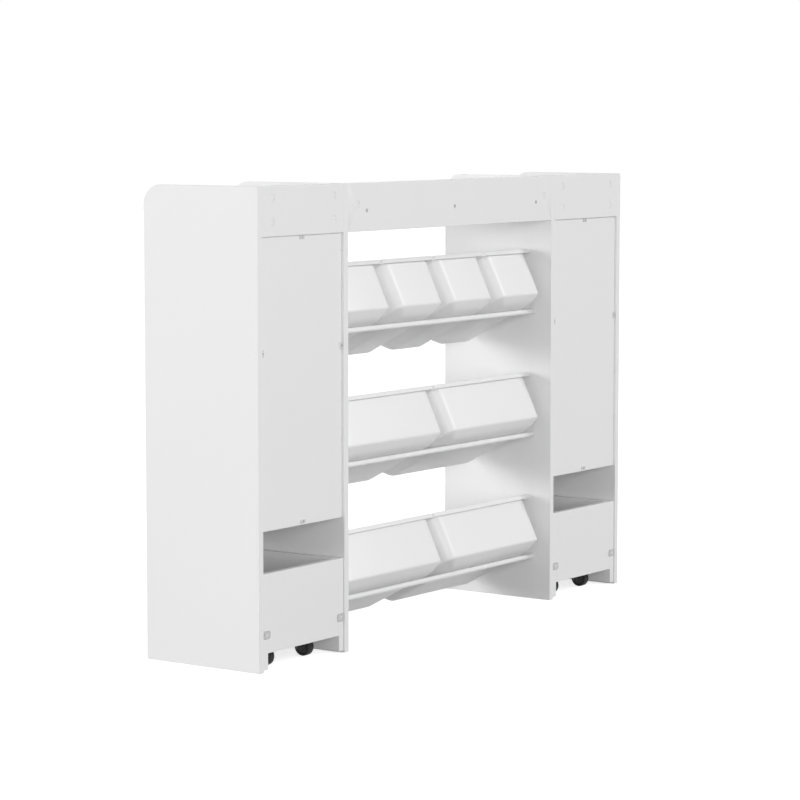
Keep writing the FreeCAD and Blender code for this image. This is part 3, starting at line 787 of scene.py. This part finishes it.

# %% [markdown]
# ## Clips and stop brackets
#
# Small plastic clips hold each back panel in its recess. Beside the rear of each rolling box sits
# a pair of zinc angles: one leg lies on the tower's side, and the other reaches behind the box and
# stops it. Each angle carries a low round buffer of pale plastic, whose colour paints a highlight
# at the angle's middle. The clips and the angles' legs are flat and have round corners, so one
# helper makes a small rounded plate for them, and a matrix stands it on the face that it belongs to.

# %% Back clips
CLIP_HALF, CLIP_CORNER, CLIP_LEVEL = (8.0 * MM, 4.0 * MM), 2.0 * MM, 659.0 * MM
CLIP_UNDER_TOP, CLIP_OVER_FOOT = 0.5 * MM, 7.5 * MM
FACING_BACK = Matrix.Rotation(math.radians(-90), 4, "X")


def tablet(shape, half_x, half_y, corner, thickness, place):
    """A small rounded plate that stands on a face, its free edge eased."""
    ease = thickness / 4
    loft(shape, [rounded_ring(half_x - inset, half_y - inset, inset - half_y, height,
                              corner - inset)
                 for inset, height in ((0, 0), (0, thickness - ease), (ease, thickness))], place)


clips, clip_places = bmesh.new(), []
clip_low, clip_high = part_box("back_clips")
clip_sheet = clip_high.y - clip_low.y
for node in nodes_named("back_panel"):
    low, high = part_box(node)
    middle = (low.x + high.x) / 2
    spots = [(Vector((middle, clip_low.y, high.z - CLIP_HALF[1] - CLIP_UNDER_TOP)), CLIP_HALF),
             (Vector((middle, clip_low.y, low.z + CLIP_OVER_FOOT)), CLIP_HALF)]
    spots += [(Vector((x, clip_low.y, CLIP_LEVEL)), CLIP_HALF[::-1])
              for x in (low.x + CLIP_HALF[1], high.x - CLIP_HALF[1])]
    for spot, (half_x, half_y) in spots:
        tablet(clips, half_x, half_y, CLIP_CORNER, clip_sheet,
               Matrix.Translation(spot) @ FACING_BACK)
        clip_places.append(spot + Vector((0, clip_sheet, 0)))
add_piece("rounded_back_clips", clips, "cabinet", "clip_plastic", ["back_clips"])
print("clips:", len(clip_places))

# %% Stop brackets and their buffers, whose pale colour paints a highlight
HOOK_HALF, HOOK_CORNER, HOOK_SHEET = (12.0 * MM, 8.5 * MM), 5.0 * MM, 1.2 * MM
STOP_LEVEL, LEG_CORNER, LEG_SCREW_AHEAD = 78.0 * MM, 2.0 * MM, 2.0 * MM
BUFFER_HIGHLIGHT_RADIUS, BUFFER_HIGHLIGHT_HEIGHT = 4.2 * MM, 0.3 * MM
FACING_SIDE = Matrix.Rotation(math.radians(90), 4, "Y")

stops, buffer_highlights, leg_places = bmesh.new(), bmesh.new(), {-1: [], 1: []}
stop_low, stop_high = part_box("box_stops")
leg_y = (stop_low.y + stop_high.y) / 2
for side in ("left", "right"):
    low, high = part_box("rear_rail_" + side)
    for face, inward in ((low.x, 1), (high.x, -1)):
        hook = Vector((face + inward * HOOK_HALF[0], stop_high.y - HOOK_SHEET, STOP_LEVEL))
        tablet(stops, *HOOK_HALF, HOOK_CORNER, HOOK_SHEET, Matrix.Translation(hook) @ FACING_BACK)
        leg = Vector((face + (0 if inward > 0 else -HOOK_SHEET), leg_y, STOP_LEVEL))
        tablet(stops, HOOK_HALF[1], stop_high.y - leg_y, LEG_CORNER, HOOK_SHEET,
               Matrix.Translation(leg) @ FACING_SIDE)
        leg_places[inward].append(
            Vector((face + inward * HOOK_SHEET, leg_y - LEG_SCREW_AHEAD, STOP_LEVEL)))
        # A thin pale buffer disc in the middle of each angle; its colour paints a highlight on the zinc.
        turned(buffer_highlights, [(0, BUFFER_HIGHLIGHT_RADIUS), (BUFFER_HIGHLIGHT_HEIGHT / 2, BUFFER_HIGHLIGHT_RADIUS),
                         (BUFFER_HIGHLIGHT_HEIGHT, BUFFER_HIGHLIGHT_RADIUS - EASE)],
               Matrix.Translation(hook + Vector((0, HOOK_SHEET, 0))) @ ON_Y)
add_piece("rounded_box_stops", stops, "cabinet", "bracket_steel", ["box_stops"])
# The buffers are pale plastic on dark zinc, and this paints a highlight at each angle's middle.
add_piece("stop_buffer_highlights", buffer_highlights, "cabinet", "clip_plastic")
print("stop brackets:", sum(len(spots) for spots in leg_places.values()))

# %% [markdown]
# ## Cross heads with Geometry Nodes
#
# Cam locks and screws all show a round head with a cross recess, only in other sizes. They could
# be copied one by one, but then each change would have to be made again on every copy. A small
# Geometry Nodes tree makes one head: a tapered cylinder, less two crossed bars. It then sets a
# copy on every point of the mesh that it is given, facing one way, and turns each by its own
# chance angle, because nobody lines up screws. The seed is fixed, so the angles stay the same.

# %% One head with a cross recess
HEAD_SIDES, HEAD_TAPER = 28, 0.25        # sides of a head; its taper, as a share of its height


def wire_nodes(tree, kind, settings, sockets):
    """Add a node to a tree, with its settings, and with the values or links of its sockets."""
    made = tree.nodes.new(kind)
    for name, value in settings.items():
        setattr(made, name, value)
    for socket, value in sockets.items():
        if isinstance(value, bpy.types.NodeSocket):
            tree.links.new(value, made.inputs[socket])
        else:
            made.inputs[socket].default_value = value
    return made


def cross_head(tree, sizes):
    """Nodes for a tapered cylinder less two crossed bars, standing on its own middle."""

    def math_node(operation, first, second):
        return wire_nodes(tree, "ShaderNodeMath", {"operation": operation},
                          {0: first, 1: second}).outputs[0]

    def vector_of(x, y, z):
        return wire_nodes(tree, "ShaderNodeCombineXYZ", {}, {"X": x, "Y": y, "Z": z}).outputs[0]

    taper = math_node("MULTIPLY", sizes["Height"], HEAD_TAPER)
    head = wire_nodes(tree, "GeometryNodeMeshCone", {}, {
        "Vertices": HEAD_SIDES, "Radius Top": math_node("SUBTRACT", sizes["Radius"], taper),
        "Radius Bottom": sizes["Radius"], "Depth": sizes["Height"]})
    cross_cut = wire_nodes(tree, "GeometryNodeMeshBoolean",
                           {"operation": "DIFFERENCE", "solver": "EXACT"},
                           {"Mesh 1": head.outputs["Mesh"]})
    lifted = vector_of(0.0, 0.0, sizes["Height"])
    deep = math_node("MULTIPLY", sizes["Slot Depth"], 2.0)
    long_side, short_side = sizes["Slot Length"], sizes["Slot Width"]
    for bar_size in (vector_of(long_side, short_side, deep),
                     vector_of(short_side, long_side, deep)):
        bar = wire_nodes(tree, "GeometryNodeMeshCube", {}, {"Size": bar_size})
        raised = wire_nodes(tree, "GeometryNodeTransform", {},
                            {"Geometry": bar.outputs["Mesh"], "Translation": lifted})
        tree.links.new(raised.outputs["Geometry"], cross_cut.inputs["Mesh 2"])
    return cross_cut.outputs["Mesh"]


# %% A head on every point
def turned_copies(tree, head, given):
    """Nodes that set a copy of the head on every point, each turned by a chance angle."""
    facing = wire_nodes(tree, "FunctionNodeAlignRotationToVector", {"axis": "Z"},
                        {"Vector": given["Facing"]})
    copies = wire_nodes(tree, "GeometryNodeInstanceOnPoints", {}, {
        "Points": given["Geometry"], "Instance": head, "Rotation": facing.outputs["Rotation"]})
    chance = wire_nodes(tree, "FunctionNodeRandomValue", {"data_type": "FLOAT"},
                        {2: 0.0, 3: math.pi, "Seed": given["Seed"]})
    spin = wire_nodes(tree, "FunctionNodeAxisAngleToRotation", {}, {"Angle": chance.outputs[1]})
    return wire_nodes(tree, "GeometryNodeRotateInstances", {}, {
        "Instances": copies.outputs["Instances"], "Rotation": spin.outputs["Rotation"],
        "Local Space": True}).outputs["Instances"]


def head_tree():
    """A cross head on every point: inputs for its size, direction, seed and material."""
    tree = bpy.data.node_groups.new("cross heads", "GeometryNodeTree")
    for name, kind in (("Geometry", "Geometry"), ("Radius", "Float"), ("Height", "Float"),
                       ("Slot Length", "Float"), ("Slot Width", "Float"), ("Slot Depth", "Float"),
                       ("Facing", "Vector"), ("Seed", "Int"), ("Material", "Material")):
        tree.interface.new_socket(name, in_out="INPUT", socket_type="NodeSocket" + kind)
    tree.interface.new_socket("Geometry", in_out="OUTPUT", socket_type="NodeSocketGeometry")
    given = tree.nodes.new("NodeGroupInput").outputs
    copies = turned_copies(tree, cross_head(tree, given), given)
    real = wire_nodes(tree, "GeometryNodeRealizeInstances", {}, {"Geometry": copies})
    painted = wire_nodes(tree, "GeometryNodeSetMaterial", {}, {
        "Geometry": real.outputs["Geometry"], "Material": given["Material"]})
    wire_nodes(tree, "NodeGroupOutput", {}, {"Geometry": painted.outputs["Geometry"]})
    return tree


HEADS = head_tree()
SOCKET_OF = {item.name: item.identifier for item in HEADS.interface.items_tree
             if item.in_out == "INPUT"}
print("head tree inputs:", ", ".join(SOCKET_OF))

# %% Heads on their places
CAM = {"Radius": 7.4 * MM, "Height": 1.3 * MM, "Slot Length": 8.5 * MM, "Slot Width": 1.9 * MM,
       "Slot Depth": 0.9 * MM}
RAIL_SCREW = {"Radius": 4.1 * MM, "Height": 1.1 * MM, "Slot Length": 4.8 * MM,
              "Slot Width": 1.1 * MM, "Slot Depth": 0.7 * MM}
SMALL_SCREW = {"Radius": 2.4 * MM, "Height": 0.8 * MM, "Slot Length": 3.0 * MM,
               "Slot Width": 0.7 * MM, "Slot Depth": 0.45 * MM}
FLAT_SCREW = {"Radius": 3.0 * MM, "Height": 0.35 * MM, "Slot Length": 3.6 * MM,
              "Slot Width": 0.9 * MM, "Slot Depth": 0.2 * MM}
TO_BACK, DOWN = (0.0, 1.0, 0.0), (0.0, 0.0, -1.0)


def set_heads(name, spots, facing, body, slot, sizes, seed):
    """Run the head tree on a few points, and keep the result as one plain piece."""
    points = bmesh.new()
    for spot in spots:
        points.verts.new(spot)
    holder = holder_of(name + "_points", points)
    modifier = holder.modifiers.new("heads", "NODES")
    modifier.node_group = HEADS
    inputs = {**sizes, "Facing": facing, "Seed": seed, "Material": MATERIALS[slot]}
    for socket, value in inputs.items():
        modifier[SOCKET_OF[socket]] = value
    return add_piece(name, baked(holder), body, slot)


pocket_floor = Vector((0, -POCKET_DEPTH, 0))
heads = [
    set_heads("cam_locks", [spot + pocket_floor for spot in cam_places], TO_BACK, "cabinet",
              "bin_plastic", CAM, seed=3),
    set_heads("rail_screws", [spot + pocket_floor for spot in screw_places], TO_BACK, "cabinet",
              "bracket_steel", RAIL_SCREW, seed=5),
    set_heads("clip_screws", clip_places, TO_BACK, "cabinet", "bracket_steel", SMALL_SCREW, seed=7)]
for inward, spots in leg_places.items():
    heads.append(set_heads(f"stop_screws_{'low' if inward > 0 else 'high'}", spots,
                           (float(inward), 0.0, 0.0), "cabinet", "bracket_steel", FLAT_SCREW,
                           seed=11))
for node, spots in plate_screws.items():
    heads.append(set_heads("screws_" + node, spots, DOWN, body_of_node[node], "bracket_steel",
                           FLAT_SCREW, seed=13))
print("heads:", {piece.name: len(piece.data.polygons) for piece in heads})

# %% [markdown]
# ## Camera
#
# The picture was taken from behind and from one side, with a long lens. A camera could be turned
# by eye until it looks right, but the straight edges of the unit tell its place, direction and
# lens exactly, so the values below were fitted to them.

# %% Camera
SENSOR_WIDTH, LENS, FARTHEST = 36.0, 132.77, 60.0
CAMERA_PLACE = (5.435, 3.8208, 1.163)
VIEW_YAW, VIEW_PITCH = math.radians(54.90), math.radians(-5.70)

camera_data = bpy.data.cameras.new("camera")
camera_data.sensor_width, camera_data.lens, camera_data.clip_end = SENSOR_WIDTH, LENS, FARTHEST
camera = bpy.data.objects.new("camera", camera_data)
camera.location = CAMERA_PLACE
looking = Vector((-math.sin(VIEW_YAW) * math.cos(VIEW_PITCH),
                  -math.cos(VIEW_YAW) * math.cos(VIEW_PITCH), math.sin(VIEW_PITCH)))
camera.rotation_euler = looking.to_track_quat("-Z", "Y").to_euler()
bpy.context.scene.collection.objects.link(camera)
bpy.context.scene.camera = camera
print("camera to the unit:", round(camera.location.length, 2), "m")

# %% [markdown]
# ## Backdrop
#
# A studio sweep is white all round. Lamps strong enough to bleach a grey sweep would bleach the
# unit too, so the backdrop is white only to the rays that look at it. The world is plain white to
# the camera and to reflections, and gives softer light of its own to all else. The floor has two
# looks in the same way: rays that look at the backdrop see a white floor that keeps the faint
# shadow where the unit stands, and all other rays meet a darker one, so that not too much light
# comes back up under the bins.

# %% World
WORLD_LIGHT = 0.40

world = bpy.data.worlds.new("white studio")
bpy.context.scene.world = world
world.use_nodes = True
sky = Shader(world.node_tree)
background = world.node_tree.nodes["Background"].inputs
looked_at = sky.sees_backdrop()
sky.feed(background["Color"], grey(1.0))
sky.feed(background["Strength"], looked_at + WORLD_LIGHT * (1 - looked_at))
print("world nodes:", len(world.node_tree.nodes))

# %% Floor
FLOOR_SIZE, FLOOR_GLOW = 40.0, 0.74
BOUNCE_FLOOR, SEEN_FLOOR, FLOOR_ROUGHNESS = grey(0.26), grey(0.85), 0.9

floor_material = surface("pale studio floor",
                         {"Base Color": BOUNCE_FLOOR, "Roughness": FLOOR_ROUGHNESS})
floor_nodes = floor_material.node_tree.nodes
floor_shader = Shader(floor_material.node_tree)
bounce_look = Wire(floor_shader, floor_nodes["Principled BSDF"].outputs["BSDF"])
seen_look = floor_shader.node("ShaderNodeBsdfPrincipled", {}, {
    "Base Color": SEEN_FLOOR, "Roughness": FLOOR_ROUGHNESS, "Emission Color": grey(1.0),
    "Emission Strength": FLOOR_GLOW}, "BSDF")
both_looks = floor_shader.node("ShaderNodeMixShader", {}, {
    0: floor_shader.sees_backdrop(), 1: bounce_look, 2: seen_look})
floor_shader.feed(floor_nodes["Material Output"].inputs["Surface"], both_looks)

half = FLOOR_SIZE / 2
floor_mesh = bpy.data.meshes.new("studio_floor")
floor_mesh.from_pydata([(-half, -half, 0), (half, -half, 0), (half, half, 0), (-half, half, 0)],
                       [], [(0, 1, 2, 3)])
floor_mesh.materials.append(floor_material)
floor = bpy.data.objects.new("studio_floor", floor_mesh)
bpy.context.scene.collection.objects.link(floor)
print("floor:", FLOOR_SIZE, "m square")

# %% [markdown]
# ## Lamps
#
# In the picture the boards that look to the side are a little lighter than those that look back,
# and no shadow is hard. One lamp beside the camera would do for these faces, but the bins' round
# corners would shine, and the front would stay dark when the unit is turned. So four large soft
# discs stand round the unit, and their powers were balanced until each face had its own tone.

# %% Lamps
LAMP_SIZE, LAMP_TARGET = 4.0, Vector((0, 0, 0.5))
LAMPS = {"camera side lamp": ((8.0, 7.8, 2.0), 450), "rear lamp": ((-6.5, 9.5, 6.0), 570),
         "side lamp": ((10.0, -4.0, 2.0), 295), "front lamp": ((3.5, -10.0, 2.6), 400)}

for name, (place, power) in LAMPS.items():
    data = bpy.data.lights.new(name, "AREA")
    data.shape, data.size, data.energy = "DISK", LAMP_SIZE, power
    lamp = bpy.data.objects.new(name, data)
    lamp.location = place
    lamp.rotation_euler = (LAMP_TARGET - Vector(place)).to_track_quat("-Z", "Y").to_euler()
    bpy.context.scene.collection.objects.link(lamp)
bpy.context.scene.view_settings.view_transform = "Standard"
print("lamps:", {name: power for name, (place, power) in LAMPS.items()})
